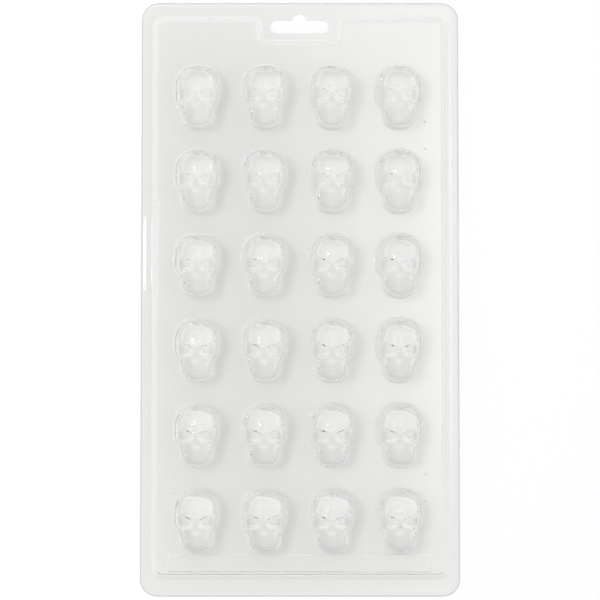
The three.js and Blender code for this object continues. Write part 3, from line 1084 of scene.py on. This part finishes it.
# A white floor that gets pi watts on each square metre looks fully white.
softbox_watts = SOFTBOX_SHARE * math.pi**2 * LAMP_DISTANCE**2 / SOFTBOX_DIRECTION.z
softbox = area_lamp("softbox", SOFTBOX_DIRECTION, SOFTBOX_SIZE, softbox_watts)
softbox.visible_glossy = False
softbox.visible_transmission = False
area_lamp("highlight", HIGHLIGHT_DIRECTION, HIGHLIGHT_SIZE, HIGHLIGHT_WATTS)
print("softbox watts", round(softbox_watts, 1))

# %% [markdown]
# ## What the plastic mirrors
#
# The rest of the light is even and comes from all round. What the plastic mirrors is set
# apart from it, since a clear glossy sheet shows the studio more than its own colour. One
# real white room could do both, but then no tone could be matched without another. Each row
# of the list below is one smooth change of brightness across the mirrored room:
#
# - overhead it climbs from dim at the left to bright at the right, and falls off again past
#   the right end and towards the lower edge, with one soft patch at the lower left
# - around, it is dim at the lower edge and brighter at the top
# - low walls stand all round, bright but for the one at the lower edge, with a window at the
#   right

# %% Mirrored room
PATCH_DIRECTION = (-0.10, -0.14, 0.98)
OVERHEAD_DIRECTION = (-0.038, 0.0, 1.0)

world = bpy.data.worlds.new("studio")
bpy.context.scene.world = world
world.use_nodes = True
tree = world.node_tree
tree.nodes.clear()
direction = add_node(tree, "ShaderNodeTexCoord").outputs["Generated"]
split = add_node(tree, "ShaderNodeSeparateXYZ", {0: direction}).outputs
to_right, to_top, to_zenith = split["X"], split["Y"], split["Z"]
from_patch, from_overhead = (
    add_node(
        tree, "ShaderNodeVectorMath", {0: direction, 1: spot}, operation="DISTANCE"
    ).outputs["Value"]
    for spot in (PATCH_DIRECTION, OVERHEAD_DIRECTION)
)
room = {}
for name, across, low, high, at_low, at_high in (
    ("overhead", to_right, -0.04, 0.12, 0.05, 2.5),
    ("top", to_top, 0.0, 0.2, 0.0, 0.45),
    ("right part", to_right, -0.08, 0.05, 0.0, 1.0),
    ("patch", from_patch, 0.0, 0.1, 0.9, 0.0),
    ("lower part", to_top, -0.14, -0.02, 0.4, 1.0),
    ("past the right end", to_right, 0.12, 0.2, 1.0, 0.25),
    ("around", to_top, -0.75, -0.05, 0.1, 0.65),
    ("around the top", to_top, 0.1, 0.4, 0.0, 0.5),
    ("window", to_right, 0.55, 0.8, 0.0, 0.7),
    ("low walls", to_zenith, 0.2, 0.5, 1.4, 0.0),
    ("lower wall", to_top, -0.8, -0.2, 0.1, 1.0),
    ("share of around", from_overhead, 0.16, 0.36, 0.0, 1.0),
    ("led along", to_top, -0.8, -0.1, 0.3, 0.75),
):
    room[name] = add_node(
        tree, "ShaderNodeMapRange",
        {"Value": across, "From Min": low, "From Max": high, "To Min": at_low, "To Max": at_high},
        interpolation_type="SMOOTHSTEP",
    ).outputs[0]
for name, operation, other in (
    ("top", "MULTIPLY", "right part"),
    ("overhead", "ADD", "top"),
    ("overhead", "ADD", "patch"),
    ("overhead", "MULTIPLY", "lower part"),
    ("overhead", "MULTIPLY", "past the right end"),
    ("around", "ADD", "around the top"),
    ("low walls", "MULTIPLY", "lower wall"),
    ("window", "ADD", "low walls"),
    ("around", "ADD", "window"),
):
    room[name] = add_node(
        tree, "ShaderNodeMath", {0: room[name], 1: room[other]}, operation=operation
    ).outputs[0]
print("parts of the room", len(room))

# %% [markdown]
# ## Which ray sees what
#
# Rays that light the table see the even light. Rays from the camera, past the sheet or
# through it, see white. Mirrored rays see the room above, and light that was led along the
# sheet sees a plain brightness that falls towards the lower edge.

# %% World
EVEN_LIGHT = 0.6

path = add_node(tree, "ShaderNodeLightPath").outputs
background = add_node(
    tree, "ShaderNodeMath",
    {0: path["Is Camera Ray"], 1: path["Is Transmission Ray"]}, operation="MAXIMUM",
).outputs[0]
led_along = add_node(
    tree, "ShaderNodeMath", {0: path["Ray Depth"], 1: LED_ALONG_DEPTH}, operation="GREATER_THAN"
).outputs[0]
mirrored = add_node(
    tree, "ShaderNodeMix",
    {"Factor": room["share of around"], "A": room["overhead"], "B": room["around"]},
    data_type="FLOAT",
).outputs[0]
strength = EVEN_LIGHT
for share, brightness in (
    (background, 1.0),
    (path["Is Glossy Ray"], mirrored),
    (led_along, room["led along"]),
):
    strength = add_node(
        tree, "ShaderNodeMix", {"Factor": share, "A": strength, "B": brightness},
        data_type="FLOAT",
    ).outputs[0]
sky = add_node(tree, "ShaderNodeBackground", {"Color": (1, 1, 1, 1), "Strength": strength})
add_node(tree, "ShaderNodeOutputWorld", {"Surface": sky.outputs[0]})
bpy.context.scene.view_settings.view_transform = "Standard"
print("world", world.name, "nodes", len(tree.nodes))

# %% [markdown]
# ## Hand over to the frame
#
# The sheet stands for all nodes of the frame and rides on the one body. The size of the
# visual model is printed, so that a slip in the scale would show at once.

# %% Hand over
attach(sheet, "root")
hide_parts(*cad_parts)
low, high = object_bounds()
print("visual in mm", [round(1000 * c, 2) for c in low], [round(1000 * c, 2) for c in high])
